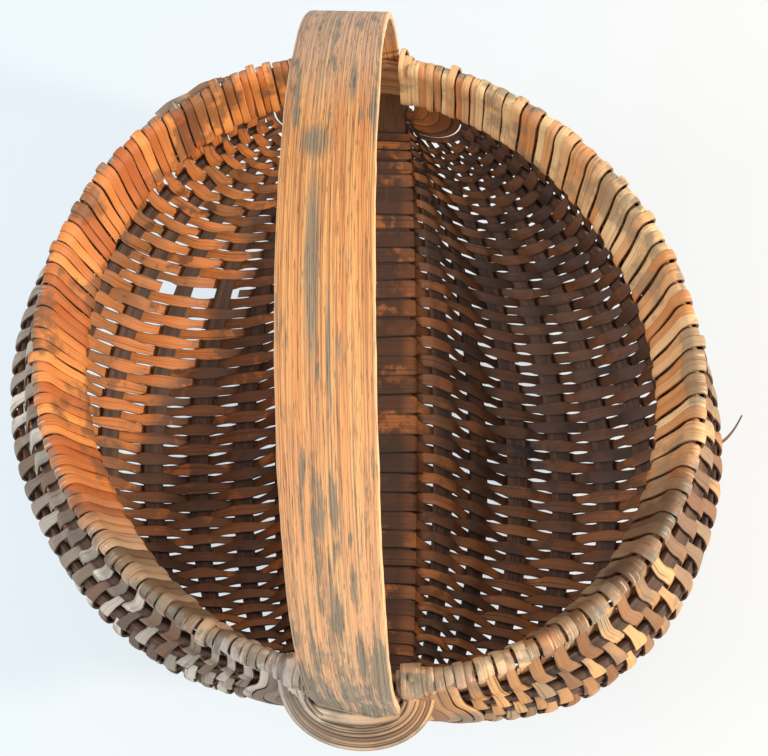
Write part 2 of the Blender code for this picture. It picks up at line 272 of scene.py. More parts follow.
def lay_grid(bm, points, grain, tone, wraps):
    """A grid with its points at points[along][across]; grain holds the strip's own coordinates."""
    layers = bm.verts.layers
    spots, tones, wrapping = layers.float_vector["grain"], layers.float["tone"], layers.float["wrap"]
    last, wide = len(points) - 1, len(points[0]) - 1
    made = bmesh.ops.create_grid(bm, x_segments=last, y_segments=wide, size=1)["verts"]
    for vert in made:
        i, j = round((vert.co.x + 1) / 2 * last), round((vert.co.y + 1) / 2 * wide)
        vert.co = Vector(points[i][j]) + LIFT
        vert[spots], vert[tones], vert[wrapping] = grain[i][j], tone[i], wraps[i]
    return made


print("drift at three places:", [round(drift(place, 1), 2) for place in (0.3, 0.8, 1.3)])

# %% Bars
WELD = 1e-7  # points closer than this are one point


def rounded_section(half, deep, radius, ridge):
    """The corners of a flat bar's section, as (across, outward), with rounded edges.

    ridge moves the middle corner of both faces aside, and (0.6, 0.8) is on a circle of radius 1.
    """
    w, t = half - radius, deep - radius
    quarter = [(w, deep), (w + 0.6 * radius, t + 0.8 * radius), (half, t)]
    edge = quarter + [(x, -y) for x, y in reversed(quarter)]
    return [(ridge, deep), *edge, (ridge, -deep)] + [(-x, -y) for x, y in edge]


def as_it_is(index, across, point):
    return point


def bar(name, frames, sizes, material, seed, ridge=0.0, reshape=as_it_is):
    """A closed bar through frames, each with its (half width, half thickness, edge radius)."""
    bm = grained_mesh()
    rings, grain, travelled = [], [], 0.0
    for index, ((middle, cross, normal, _), size) in enumerate(zip(frames, sizes)):
        travelled += (middle - frames[index - 1][0]).length if index else 0
        corners = rounded_section(*size, ridge)
        corners.append(corners[0])
        rings.append([reshape(index, x, middle + cross * x + normal * y) for x, y in corners])
        grain.append([(travelled, x, y + seed) for x, y in corners])
    lay_grid(bm, rings, grain, [seed % 1.0] * len(rings), [0.0] * len(rings))
    bmesh.ops.remove_doubles(bm, verts=bm.verts, dist=WELD)
    bmesh.ops.holes_fill(bm, edges=bm.edges, sides=0)
    bmesh.ops.recalc_face_normals(bm, faces=bm.faces)
    for face in bm.faces:
        face.smooth = len(face.verts) == 4
    return new_piece(name, bm, [material])


print("corners of a bar's section:", len(rounded_section(HALF_HANDLE, HANDLE_THICKNESS, SPLINT, 0)))

# %% Strips of splint
ACROSS = (-1, -0.5, 0, 0.5, 1)
LOWEST = SPLINT * 0.55 - LIFT.z  # the middle of a strip that lies on the floor


def smooth_line(stations, steps):
    """Catmull-Rom through the stations, with steps points for each span."""
    line = np.array(stations, float)
    line = np.concatenate([line[:1], line, line[-1:]])
    p0, p1, p2, p3 = line[:-3], line[1:-2], line[2:-1], line[3:]
    parts = []
    for step in range(steps):
        t = step / steps
        parts.append(
            0.5 * (2 * p1 + (p2 - p0) * t + (2 * p0 - 5 * p1 + 4 * p2 - p3) * t**2
                   + (3 * p1 - p0 - 3 * p2 + p3) * t**3)
        )
    return np.concatenate([np.stack(parts, 1).reshape(-1, *line.shape[1:]), line[-1:]])


def lay_strip(bm, stations, seed, steps=3):
    """A strip through stations, each a list of points across and a share of rim wrap.

    Its tone is a value of its own that wanders along it, in short waves and in long ones.
    """
    table = [[[*point, wrap] for point in points] for points, wrap in stations]
    line = smooth_line(table, steps)
    line[:, :, 2] = np.maximum(line[:, :, 2], LOWEST)
    middle = line[:, len(line[0]) // 2, :3]
    travelled = np.concatenate([[0], np.cumsum(np.linalg.norm(np.diff(middle, axis=0), axis=1))])
    widths = np.linalg.norm(line[:, -1, :3] - line[:, 0, :3], axis=1) / 2
    spread = np.linspace(-1, 1, line.shape[1])
    grain = [[(u + seed, w * v, abs(v)) for v in spread] for u, w in zip(travelled, widths)]
    own = 0.45 + 0.55 * drift(0.5, seed * 3.1)
    tone = [own + 0.6 * drift(u * 5, seed) + 0.4 * drift(u * 0.7, seed + 50) for u in travelled]
    return lay_grid(bm, line[:, :, :3], grain, tone, line[:, 0, 3])


print("a strip has", len(ACROSS), "points across")

# %% A place on the basket


def settle(piece, slot, *nodes):
    """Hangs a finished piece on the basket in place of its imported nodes."""
    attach(piece, "root")
    if nodes:
        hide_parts(*nodes)


print("pieces ride on the body root")

# %% [markdown]
# ## Finishes
# Old oak splint has no varnish: its look is fine grain along the strip, paler and darker
# strips side by side, and a colour that depends on where it hung. Shader nodes can say all of
# that without a picture, so nothing has to be unwrapped. A tree of thirty nodes is hard to
# read, but Python expressions are not: a small class wraps an output socket, so that
# `1 - mask` or `grain * 0.3` adds the Math node it needs.

# %% Sockets in expressions


class Wire:
    """An output socket that can be used in expressions."""

    def __init__(self, nodes, socket):
        self.nodes, self.socket = nodes, socket

    def maths(self, operation, first, second=0.0):
        return self.nodes.node("ShaderNodeMath", {"operation": operation}, {0: first, 1: second})

    def __add__(self, other):
        return self.maths("ADD", self, other)

    def __sub__(self, other):
        return self.maths("SUBTRACT", self, other)

    def __rsub__(self, other):
        return self.maths("SUBTRACT", other, self)

    def __mul__(self, other):
        return self.maths("MULTIPLY", self, other)

    __radd__, __rmul__ = __add__, __mul__

    def __abs__(self):
        return self.maths("ABSOLUTE", self)

    def step(self, low, high):
        """0 below low, 1 above high and smooth between; it falls instead where low is above high."""
        ends = {"From Min": min(low, high), "From Max": max(low, high)}
        ends |= {"To Min": float(low > high), "To Max": float(low <= high)}
        kind = {"interpolation_type": "SMOOTHSTEP"}
        return self.nodes.node("ShaderNodeMapRange", kind, {"Value": self, **ends})


print("sockets can be added, subtracted, multiplied and stepped")

# %% Node trees


class Nodes:
    """A node tree, with one method that adds a node of any kind."""

    def __init__(self, tree):
        self.tree = tree

    def feed(self, socket, value):
        if isinstance(value, Wire):
            self.tree.links.new(value.socket, socket)
        else:
            socket.default_value = value

    def node(self, kind, settings, sockets, output=0):
        made = self.tree.nodes.new(kind)
        for name, value in settings.items():
            setattr(made, name, value)
        for name, value in sockets.items():
            self.feed(made.inputs[name], value)
        return Wire(self, made.outputs[output])

    def seen(self):
        """1 for what the camera sees, also in gloss and through glass, and 0 for falling light."""
        rays = ("Is Camera Ray", "Is Glossy Ray", "Is Transmission Ray")
        return sum(self.node("ShaderNodeLightPath", {}, {}, ray) for ray in rays)


print("one method adds every node")

# %% Finishes
BUMP_STRENGTH, RELIEF = 0.8, 0.0004
MIX_FIRST, MIX_SECOND, MIX_RESULT = 6, 7, 2  # a colour Mix node's sockets, beside its factor at 0


def linear(colour):
    """A colour as it looks on a screen, from 0 to 255, in the linear values that nodes take."""
    return (*(((c / 255 + 0.055) / 1.055) ** 2.4 for c in colour), 1)


class Finish(Nodes):
    """A material on one Principled shader, with a short word for each kind of pattern."""

    def __init__(self, name, roughness):
        self.material = bpy.data.materials.new(name)
        self.material.use_nodes = True
        super().__init__(self.material.node_tree)
        self.shader = self.tree.nodes["Principled BSDF"]
        self.feed(self.shader.inputs["Roughness"], roughness)

    def stored(self, name, output="Fac"):
        return self.node("ShaderNodeAttribute", {"attribute_name": name}, {}, output)

    def place(self):
        return self.node("ShaderNodeTexCoord", {}, {}, "Object")

    def stretched(self, place, scale):
        return self.node("ShaderNodeVectorMath", {"operation": "MULTIPLY"}, {0: place, 1: scale})

    def noise(self, place, scale, detail=3.0, rough=0.5):
        kind = {"Scale": 1.0, "Detail": detail, "Roughness": rough}
        return self.node("ShaderNodeTexNoise", {}, {"Vector": self.stretched(place, scale), **kind})

    def axis(self, place, which):
        return self.node("ShaderNodeSeparateXYZ", {}, {0: place}, which)

    def mix(self, share, first, second):
        """A colour is a node's or (red, green, blue), each from 0 to 255."""
        first, second = (linear(c) if isinstance(c, tuple) else c for c in (first, second))
        sockets = {0: share, MIX_FIRST: first, MIX_SECOND: second}
        return self.node("ShaderNodeMix", {"data_type": "RGBA"}, sockets, MIX_RESULT)

    def spot(self, place, centre, size):
        """1 at a centre and 0 beyond a size that differs by axis."""
        away = self.node("ShaderNodeVectorMath", {"operation": "SUBTRACT"}, {0: place, 1: centre})
        away = self.stretched(away, [1 / s for s in size])
        far = self.node("ShaderNodeVectorMath", {"operation": "LENGTH"}, {0: away}, "Value")
        return far.step(1.0, 0.3)

    def layered(self, colour, *layers):
        """Lays colours over a first one, each by its own share."""
        for share, over in layers:
            colour = self.mix(share, colour, over)
        return colour

    def done(self, colour, height, depth=RELIEF, roughness=None):
        """Feeds the shader its colour, its relief and, where it varies, its roughness."""
        relief = {"Height": height, "Distance": depth, "Strength": BUMP_STRENGTH}
        self.feed(self.shader.inputs["Base Color"], colour)
        self.feed(self.shader.inputs["Normal"], self.node("ShaderNodeBump", {}, relief))
        if roughness is not None:
            self.feed(self.shader.inputs["Roughness"], roughness)
        return self.material


print("a middle grey is", [round(c, 3) for c in linear((128, 128, 128))], "in linear values")

# %% [markdown]
# ### The handle's oak
# The handle was rived from one straight oak pole, so long fine grain runs all the way over it.
# Hands have rubbed the middle to warm orange, and old grey is left in the grain, towards both
# feet and in a few long marks. One noise can't look like that, so several are stretched along
# the strip by different amounts, and each lays its own colour over the last.

# %% Handle oak
# Each grey mark is (along, across, half length, half width), in metres.
GREY_MARKS = (
    (0.294, -0.0055, 0.012, 0.0090),
    (0.238, -0.0050, 0.058, 0.0042),
    (0.322, -0.0145, 0.026, 0.0016),
    (0.330, 0.0085, 0.022, 0.0022),
    (0.205, 0.0015, 0.034, 0.0014),
)
OUTER_FACE, FACE_REACH = 0.352, 0.01  # where the outer face is in the grain's third number


def handle_oak():
    oak = Finish("handle_oak", 0.6)
    spot = oak.stored("grain", "Vector")
    along, across = oak.axis(spot, "X"), oak.axis(spot, "Y")
    bands = oak.noise(spot, (5, 230, 60)).step(0.30, 0.72)
    fibres = oak.noise(spot, (14, 2300, 300), 4.0, 0.6)
    threads = oak.noise(spot, (6, 760, 300), 3.0, 0.6)
    lines = oak.noise(spot, (9, 1300, 300), 3.0, 0.6).step(0.47, 0.57)
    pores = oak.noise(spot, (110, 2600, 300), 2.0).step(0.60, 0.70)
    streaks = oak.noise(spot, (8, 300, 60), 5.0, 0.65)
    patches = oak.noise(spot, (24, 80, 20), 5.0, 0.65)
    foot, crest = along.step(0.24, 0.01), along.step(0.30, 0.36) * along.step(0.50, 0.44)
    dusty = foot + crest
    grey = (streaks * 0.55 + foot * 0.14 + crest * 0.05 + patches * 0.70).step(0.70, 0.77)
    for x, y, length, width in GREY_MARKS:
        mark = oak.spot(spot, (x, y, OUTER_FACE), (length, width, FACE_REACH))
        grey = grey + mark * streaks.step(0.30, 0.46)
    grey = grey.maths("MINIMUM", grey, 1.0)
    # A pale band along both edges: worn pale wood, and a painted highlight on the rounded edge.
    pale_edge_and_highlight, cut_end = abs(across).step(0.0184, 0.0194), along.step(0.0016, 0.0006)
    keel = along.step(0.500, 0.530)
    colour = oak.layered(
        oak.mix(bands, (236, 156, 82), (242, 178, 106)),
        (threads.step(0.48, 0.60) * 0.6, (194, 116, 62)),
        (fibres.step(0.50, 0.58) * 0.7, (142, 86, 50)),
        (dusty * 0.5, (226, 190, 156)),
        (lines * (0.16 + dusty * 0.40), (124, 108, 96)),
        (grey * 0.86, oak.mix(fibres.step(0.40, 0.62), (146, 132, 106), (92, 90, 78))),
        (pores * 0.6, (84, 58, 40)),
        (pale_edge_and_highlight * 0.55, (240, 192, 138)),
        (cut_end * 0.7, (214, 192, 150)),
        (keel * 0.9, oak.mix(threads, (70, 44, 28), (112, 74, 46))),
    )
    height = fibres * 0.6 + threads * 0.6 - pores * 0.9
    return oak.done(colour, height, 0.0006, fibres * 0.2 + 0.5)


HANDLE_OAK = handle_oak()
print("made", HANDLE_OAK.name)

# %% [markdown]
# ### Splint, ribs and rim
# Inside the bowl the splint has gone dark brown, and on the far part of the left wall a pool
# of sunlight is painted in, with painted shade around it and on the right wall. Round the
# rim it is bright orange-brown, and outside it has weathered to grey on the left and ochre on
# the right. Each strip could have its own material, but then it could not change on its way
# over the rim. So there are two finishes, one for each face, which read the strip's stored
# tone, its share of rim wrap and its place.

# %% Splint inside the bowl


def splint_grain(splint):
    spot = splint.stored("grain", "Vector")
    fibres = splint.noise(spot, (12, 1700, 1), 4.0, 0.6)
    splits = splint.noise(spot, (6, 520, 1), 3.0, 0.6)
    return spot, fibres, splits


def inner_splint():
    splint = Finish("splint_inside", 0.62)
    spot, fibres, splits = splint_grain(splint)
    tone, place = splint.stored("tone"), splint.place()
    x, y = splint.axis(place, "X"), splint.axis(place, "Y")
    blotch = splint.noise(place, (26, 26, 26))
    fleck = splint.noise(place, (75, 75, 75), 3.0, 0.6)
    speck = splint.noise(place, (140, 140, 140)).step(0.44, 0.56)
    flecked = splint.mix(tone.step(0.3, 0.6), (70, 50, 34), (220, 130, 60))
    # Painted sunlight: a pool of light on the far part of the left wall, lighter and more orange.
    painted_sunlight = (x * -0.88 + y * 0.47 + blotch * 0.03).step(0.130, 0.146)
    # Painted shade on the left wall beside the painted sunlight, towards the far end.
    painted_shade_left = x.step(-0.02, -0.06) * (1 - painted_sunlight) * y.step(-0.07, -0.02)
    # Painted shade on the right wall, apart from its near end.
    painted_shade_right = x.step(0.015, 0.075) * (y + blotch * 0.08).step(-0.06, 0.04)
    keel = abs(x).step(0.026, 0.018) * fleck.step(0.64, 0.50)
    stain = splint.spot(place, (0.085, -0.012, 0.02), (0.045, 0.022, 0.05)) * speck
    # Darker along the edges of every strip: dirt, and painted shade where neighbouring strips meet.
    edge_dirt_and_shade = splint.axis(spot, "Z").step(0.80, 1.0)
    colour = splint.layered(
        splint.mix(tone.step(0.1, 0.9), (96, 63, 38), (168, 106, 59)),
        # Orange blotches, more of them under the painted sunlight, and then the painted sunlight itself.
        (blotch.step(0.40, 0.60) * (0.2 + painted_sunlight * 0.5), (222, 122, 48)),
        (painted_sunlight * 0.35, (232, 146, 72)),
        (painted_shade_left * 0.35, (52, 33, 21)),
        (fleck.step(0.52, 0.62) * 0.65, flecked),
        (painted_shade_right * 0.7, (46, 29, 18)),
        (keel * 0.75, (66, 42, 26)),
        (stain * 0.85, (34, 26, 22)),
        (fibres.step(0.48, 0.68) * 0.5, (58, 36, 24)),
        (splits.step(0.60, 0.66) * 0.5, (48, 30, 20)),
        (edge_dirt_and_shade * 0.7, (40, 26, 18)),
    )
    return splint.done(colour, fibres * 0.5 + splits * 0.8)


INSIDE = inner_splint()
print("made", INSIDE.name)

# %% Splint outside and on the rim


def outer_splint():
    """side is 0 left and 1 right; near falls towards the viewer; wrap says where on the rim."""
    splint = Finish("splint_outside", 0.6)
    spot, fibres, splits = splint_grain(splint)
    tone, wrap, place = splint.stored("tone"), splint.stored("wrap"), splint.place()
    own, edge = tone.step(0.1, 0.9), splint.axis(spot, "Z")
    blotch = splint.noise(place, (32, 32, 32), 4.0, 0.6)
    small = splint.noise(place, (90, 90, 90), 3.0, 0.6)
    side = splint.axis(place, "X").step(-0.05, 0.05)
    near = splint.axis(place, "Y") + blotch * 0.06
    mostly_left = 1 - side * 0.8
    wall = splint.layered(
        splint.mix(own, (100, 82, 66), (224, 212, 194)),
        (side, splint.mix(own, (140, 92, 50), (226, 168, 106))),
        (blotch.step(0.44, 0.58) * 0.7, splint.mix(tone, (128, 84, 54), (124, 128, 108))),
    )
    olive = near.step(-0.015, -0.055) * near.step(-0.13, -0.09)
    tan = splint.mix(own, (216, 142, 80), (252, 208, 150))
    tan = splint.mix(olive, tan, splint.mix(tone, (94, 64, 40), (146, 106, 70)))
    dull = near.step(-0.030, -0.075) * mostly_left
    silvered = (near + small * 0.05).step(-0.080, -0.115) * mostly_left
    rim = splint.layered(
        splint.mix(own, (188, 98, 42), (240, 152, 76)),
        (side, tan),
        (blotch.step(0.50, 0.60) * 0.7, splint.mix(side, (104, 72, 46), (154, 132, 102))),
        (dull, splint.mix(own, (104, 78, 54), (196, 160, 124))),
        (silvered * 0.85, splint.mix(tone, (150, 152, 146), (222, 224, 220))),
    )
    top = wrap.step(0.44, 0.60) * wrap.step(0.99, 0.93)
    # Pale streaks on the top of the wraps: frayed fibres at the bend, and a painted highlight there.
    frayed_fibre_and_highlight = splint.noise(spot, (60, 900, 1), 3.0, 0.6).step(0.57, 0.66) * top
    slung = wrap.step(0.36, 0.40) * wrap.step(0.48, 0.44)
    colour = splint.layered(
        splint.mix(wrap.step(0.3, 0.8), wall, rim),
        (small.step(0.50, 0.60) * top * 0.7, (126, 122, 104)),
        (frayed_fibre_and_highlight * 0.6, (240, 204, 164)),
        # Painted shade on the slung strips, from a third of the way out to their edges, between the
        # strips of the bundle.
        (slung * edge.step(0.35, 0.95) * 0.85, (56, 40, 28)),
        # Painted shade along the edges of every strip, where strips meet, less of it on the rim.
        (edge.step(0.82, 1.0) * (0.8 - wrap * 0.4), (66, 46, 32)),
        (fibres.step(0.5, 0.7) * 0.45, (96, 62, 38)),
        (splits.step(0.60, 0.66) * (0.6 - wrap * 0.4), (62, 42, 28)),
    )
    return splint.done(colour, fibres * 0.5 + splits * 0.9)


OUTSIDE = outer_splint()
print("made", OUTSIDE.name)

# %% Ribs and rim hoop


def rib_oak():
    oak = Finish("rib_oak", 0.7)
    spot = oak.stored("grain", "Vector")
    fibres = oak.noise(spot, (10, 1300, 900), 4.0, 0.6)
    broad = oak.noise(spot, (8, 260, 90), 2.0).step(0.35, 0.65)
    colour = oak.mix(broad, (64, 42, 27), (102, 67, 43))
    return oak.done(oak.mix(fibres.step(0.47, 0.62) * 0.6, colour, (44, 28, 19)), fibres)


def rim_oak():
    """Grain that follows the hoop: the angle round the basket, stretched, and the height."""
    oak = Finish("rim_oak", 0.62)
    place = oak.place()
    x, y, z = (oak.axis(place, axis) for axis in "XYZ")
    spot = oak.node("ShaderNodeCombineXYZ", {}, {"X": y.maths("ARCTAN2", y, x), "Z": z})
    fibres = oak.noise(spot, (3, 1, 1500), 4.0, 0.6)
    broad = oak.noise(spot, (2, 1, 240)).step(0.35, 0.65)
    colour = oak.mix(broad, (150, 98, 56), (196, 140, 88))
    return oak.done(oak.mix(fibres.step(0.48, 0.64) * 0.6, colour, (92, 60, 38)), fibres)


RIB_OAK, RIM_OAK = rib_oak(), rim_oak()
print("made", RIB_OAK.name, "and", RIM_OAK.name)

# %% [markdown]
# ## The rim hoop
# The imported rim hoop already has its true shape, with the half-lap at the far ear. Almost all
# of it is under the wraps, so it stays as it is and only takes on its oak.

# %% Rim hoop
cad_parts["rim_hoop"].data.materials[0] = RIM_OAK
print("the rim hoop keeps its shape")

# %% [markdown]
# ## The handle hoop
# One long strip makes the arch, both legs and the keel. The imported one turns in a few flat
# steps, which catch the light one by one. It could be subdivided, but that would soften its
# cut ends too. A bar with four times the steps, rounded edges and a little unevenness in its
# width looks like a strip that was drawn down by hand.

# %% Handle hoop
ARCH_STEPS, LEG_STEPS, END_STEP = 96, 5, 0.004


def handle_frames():
    """From the near end over the arch, down the far leg, and back along the keel to the lap."""
    near_out = -HALF_LENGTH - LAP_STEP
    arch_middle, arch_half = (near_out + HALF_LENGTH) / 2, (HALF_LENGTH - near_out) / 2
    power = 2 / HANDLE_FULLNESS
    places = [(near_out, -HANDLE_END_DROP + END_STEP * i) for i in range(LEG_STEPS + 1)]
    for step in range(1, ARCH_STEPS):
        turn = math.pi * step / ARCH_STEPS
        across = math.copysign(abs(math.cos(turn)) ** power, -math.cos(turn))
        places.append((arch_middle + arch_half * across, HANDLE_RISE * math.sin(turn) ** power))
    places += [(HALF_LENGTH, -EAR_DROP * i / LEG_STEPS) for i in range(LEG_STEPS)]
    places += [keel_place(math.radians(degrees)) for degrees in range(88, -89, -2)]
    inner_leg = EAR_DROP - INNER_END_DROP
    places += [(-HALF_LENGTH, -EAR_DROP + inner_leg * i / LEG_STEPS) for i in range(LEG_STEPS + 1)]
    frames = []
    for index, (y, z) in enumerate(places):
        (y0, z0), (y1, z1) = places[max(index - 1, 0)], places[min(index + 1, len(places) - 1)]
        frames.append(hoop_frame(y, z, Vector((0, y1 - y0, z1 - z0))))
    return frames


TIP, TIP_FRAMES = 0.008, 4  # the cut end's point is beside the middle; the end bends over 4 frames
TIP_BEND = Vector((0, -0.0036, -0.0040))
HANDLE_EDGE, HANDLE_SEED = 0.0009, 0.35


def blunt_point(index, across, point):
    """The near end is cut to a blunt point, and its last bit stands away from the rim."""
    share = max(0, 1 - index / TIP_FRAMES) ** 2 * (1 if abs(across - TIP) < 0.002 else 0.2)
    return point + TIP_BEND * share


frames, sizes = handle_frames(), []
for index, (*_, half) in enumerate(frames):
    uneven = 0.0004 * drift(index * 0.16, 3) + 0.0002 * drift(index * 0.9, 4)
    sizes.append((half + uneven, HANDLE_THICKNESS / 2, HANDLE_EDGE))
handle = bar("handle_strip", frames, sizes, HANDLE_OAK, HANDLE_SEED, TIP, blunt_point)
settle(handle, "handle_oak", "handle_hoop")
print("handle strip:", len(handle.data.polygons), "faces")

# %% [markdown]
# ## Ribs
# Each rib is a whittled slat, flat, blunt at its edges and thinner where it is pushed into the
# ear. A box bent along a curve would keep one thickness from end to end. Here every station
# has its own, so the same bar tapers, and its rounded edges show through the weave.

# %% Ribs
RIB_STEPS, RIB_EDGE = 72, 0.0006
turns = [RIB_END * (2 * i / RIB_STEPS - 1) for i in range(RIB_STEPS + 1)]
for side, word in ((1, "right"), (-1, "left")):
    for number in range(RIBS_A_SIDE):
        frames, sizes = [rib_frame(side, number, turn) for turn in turns], []
        for i, (turn, (*_, half)) in enumerate(zip(turns, frames)):
            wide = half * (1 + 0.03 * drift(i * 0.3, number + side))
            sizes.append((wide, rib_thickness(turn) / 2, RIB_EDGE))
        name = f"rib_{word}_{number + 1:02d}"
        rib = bar(f"{name}_slat", frames, sizes, RIB_OAK, number * 0.37 + (side > 0))
        settle(rib, "rib_oak", name)
print("ribs:", 2 * RIBS_A_SIDE)

# %% [markdown]
# ## Woven rows
# Every row starts on the inner face of the left rim, goes over the rim, weaves over and under
# the ribs and the keel, and wraps the right rim. Real rows wrap in pairs, because the splint
# turns back there and weaves the next row, so two rows at a time lie close on the rim with a
# dark gap after them. Where a row passes over a rib it bulges and spreads, and between ribs it
# is pinched, which leaves the small wedges of light that show all over the wall. A woven
# pattern in a material would be quicker, but no light would fall through it.

# %% Splint with its thickness
SHARP_ANGLE = math.radians(50)


def splint_piece(name, bm, thickness=SPLINT):
    """Laid splint with its thickness, and the outer finish on its outer side and edges."""
    piece = new_piece(name, bm, [INSIDE, OUTSIDE])
    solid = piece.modifiers.new("splint thickness", "SOLIDIFY")
    solid.thickness, solid.offset = thickness, 0
    solid.material_offset = solid.material_offset_rim = 1
    bpy.context.view_layer.update()
    flat = piece.data
    thick = piece.evaluated_get(bpy.context.evaluated_depsgraph_get())
    piece.data = bpy.data.meshes.new_from_object(thick)
    piece.modifiers.clear()
    bpy.data.meshes.remove(flat)
    piece.data.shade_smooth()
    piece.data.set_sharp_from_angle(angle=SHARP_ANGLE)
    return piece


print("splint is", SPLINT * 1000, "mm thick")

# %% Round the rim
HALF_RIM = RIM_WIDTH / 2
# Each wrap place is (outward, up, width share, wrap share, lean share).
WRAP = [
    (0.0006, -HALF_RIM - 0.0028, 0.88, 1, 1.08),
    (-0.0020, -HALF_RIM - 0.0031, 0.90, 1, 1.06),
    (-0.0045, -HALF_RIM - 0.0012, 0.95, 1, 1.0),
    (-0.0050, -HALF_RIM + 0.0030, 0.92, 1, 0.9),
    (-0.0039, -0.0030, 0.90, 1, 0.6),
    (-0.0034, 0.0050, 0.93, 1, 0.3),
    (-0.0034, HALF_RIM - 0.0022, 0.97, 1, 0.06),
    (-0.0024, HALF_RIM + 0.0012, 0.94, 1, 0),
    (0.0, HALF_RIM + 0.0024, 0.90, 0.9, 0),
    (0.0024, HALF_RIM + 0.0012, 0.88, 0.7, 0),
    (0.0037, HALF_RIM - 0.0030, 0.92, 0.5, 0),
    (0.0038, 0.0060, 0.96, 0.2, 0),
    (0.0033, 0.0015, 0.96, 0, 0),
]
WRAP_LEAN = 0.040  # in radians of turn
CREST = 8.5  # between the wrap places in the middle and at the outer edge of the rim's top
CORE_LOW, CORE_HIGH = -0.012, 0.010  # heights between which a loose wrap stands straight out
CROWN, WRAP_CROWN = 0.0004, 0.0003  # how far a strip is domed across


def wrap_stations(side, turn, half_turn, shift, seed, proud=0.0, loop=0.0):
    """Stations round the rim from the inner end to where the splint leaves the rim outside.

    A wrap leans most at the side of the basket. proud lifts all of it, loop only its top.
    """
    stations = []
    for index, (outward, up, width, wrap, lean) in enumerate(WRAP):
        leaning = WRAP_LEAN * lean * math.cos(turn) ** 2 * (1 + 0.35 * drift(turn * 3, side * 6))
        leaning += 0.004 * lean * drift(seed * 0.77, 31 + side)
        on_top = math.exp(-((index - CREST) ** 2) / 4)
        slack = (0.0012 + 0.0022 * on_top) * max(0, drift(index * 0.55, seed + side * 9))
        loose = proud + slack + loop * on_top
        wide = half_turn * width * (1 + 0.10 * drift(index * 0.4, seed + 70 + side))
        points = []
        for v in ACROSS:
            at = turn + shift - leaning + v * wide
            middle, rise, out = rim_frame(at if side > 0 else math.pi - at)
            away = Vector((outward, max(0, up - CORE_HIGH) + min(0, up - CORE_LOW))).normalized()
            away *= loose + WRAP_CROWN * (1 - v * v)
            points.append(middle + out * (outward + away.x) + rise * (up + away.y))
        stations.append((points, wrap))
    return stations


print("a wrap has", len(WRAP), "places round the rim")

# %% Over and under a rib
ROW_GAP, RIB_MARGIN = 0.0004, 0.0003  # over a rib's face, and past its edges
BULGE, BULGE_UNDER = {1: 0.0012, -1: 0.0021}, 0.0003  # rows of the left lobe stand out more
CROSSING, PINCH = (-1, 0, 1), (0.28, 0.72)  # stations across a rib, and between two ribs


def away_from_middle(turn):
    """0 in the middle of the basket and 1 towards both ears, where rows keep an even width."""
    return min(1, max(0, (abs(turn) - 0.25) / 0.45))


def shared_drift(turn, place):
    """Neighbouring rows wander together, so that they never run into each other."""
    return 0.7 * noise.noise(Vector((turn * 4, place * 0.4, 2.5)))


def cross_stations(frame_at, thickness, over, turn, half_turn, row, place):
    """Stations of a row where it passes over or under one rib, or the keel, which is place 0."""
    seed, side = row * 2.13 + place * 5.1, 1 if place >= 0 else -1
    bulge = (BULGE[side] if over > 0 else BULGE_UNDER) * min(1, 2 * math.cos(turn))
    lift = over * (thickness / 2 + ROW_GAP + SPLINT / 2)
    broad = 1.16 - 0.10 * away_from_middle(turn) if place else 1.80
    stations = []
    for spread in CROSSING:
        extra, width = (0.0, broad) if spread else (bulge, broad + 0.06)
        wobble = shared_drift(turn, place + side * spread / 2) + 0.22 * drift(spread * 0.3, seed)
        wide = width * (1 + 0.22 * drift(spread * 0.4, seed + 17))
        points = []
        for v in ACROSS:
            middle, cross, normal, half = frame_at(turn + half_turn * (wobble + v * wide))
            crown = CROWN * (1 - v * v) * (1 - 0.6 * abs(spread))
            beside = cross * spread * (half + RIB_MARGIN)
            points.append(middle + beside + normal * (lift + over * (extra + crown)))
        stations.append((points, 0.0))
    return stations if side > 0 else stations[::-1]


def pinch(before, after, turn, seed):
    """Stations between two ribs, where a row is squeezed between its neighbours."""
    stations = []
    for t in PINCH:
        points = [a.lerp(b, t) for a, b in zip(before[0], after[0])]
        middle = points[len(points) // 2]
        share = 0.78 + 0.08 * away_from_middle(turn) + 0.28 * drift(0.5 + 0.3 * t, seed)
        stations.append(([middle + (point - middle) * share for point in points], 0.0))
    return stations


print("a row bulges by", BULGE[1] * 1000, "mm right and", BULGE[-1] * 1000, "mm left")

# %% A whole row
ROWS, PAIR_STEP = 62, 0.0008  # the first row of a pair lies higher on the rim
ROW_TURN, LASHING_TURN = 2 * WEAVE_END / ROWS, (LASHING_END - WEAVE_END) / LASHINGS_AN_EAR
BROKEN = {48: (-6, -3)}  # the rib where the left end stops, and where the right end starts


def row_place(row):
    """The turn and half width of a row; below 0 and from ROWS on, it is one of an ear's lashings."""
    if 0 <= row < ROWS:
        return -WEAVE_END + (row + 0.5) * ROW_TURN, ROW_TURN / 2
    beyond = row - ROWS + 0.5 if row >= ROWS else -row - 0.5
    return math.copysign(WEAVE_END + beyond * LASHING_TURN / 2, row), LASHING_TURN / 4


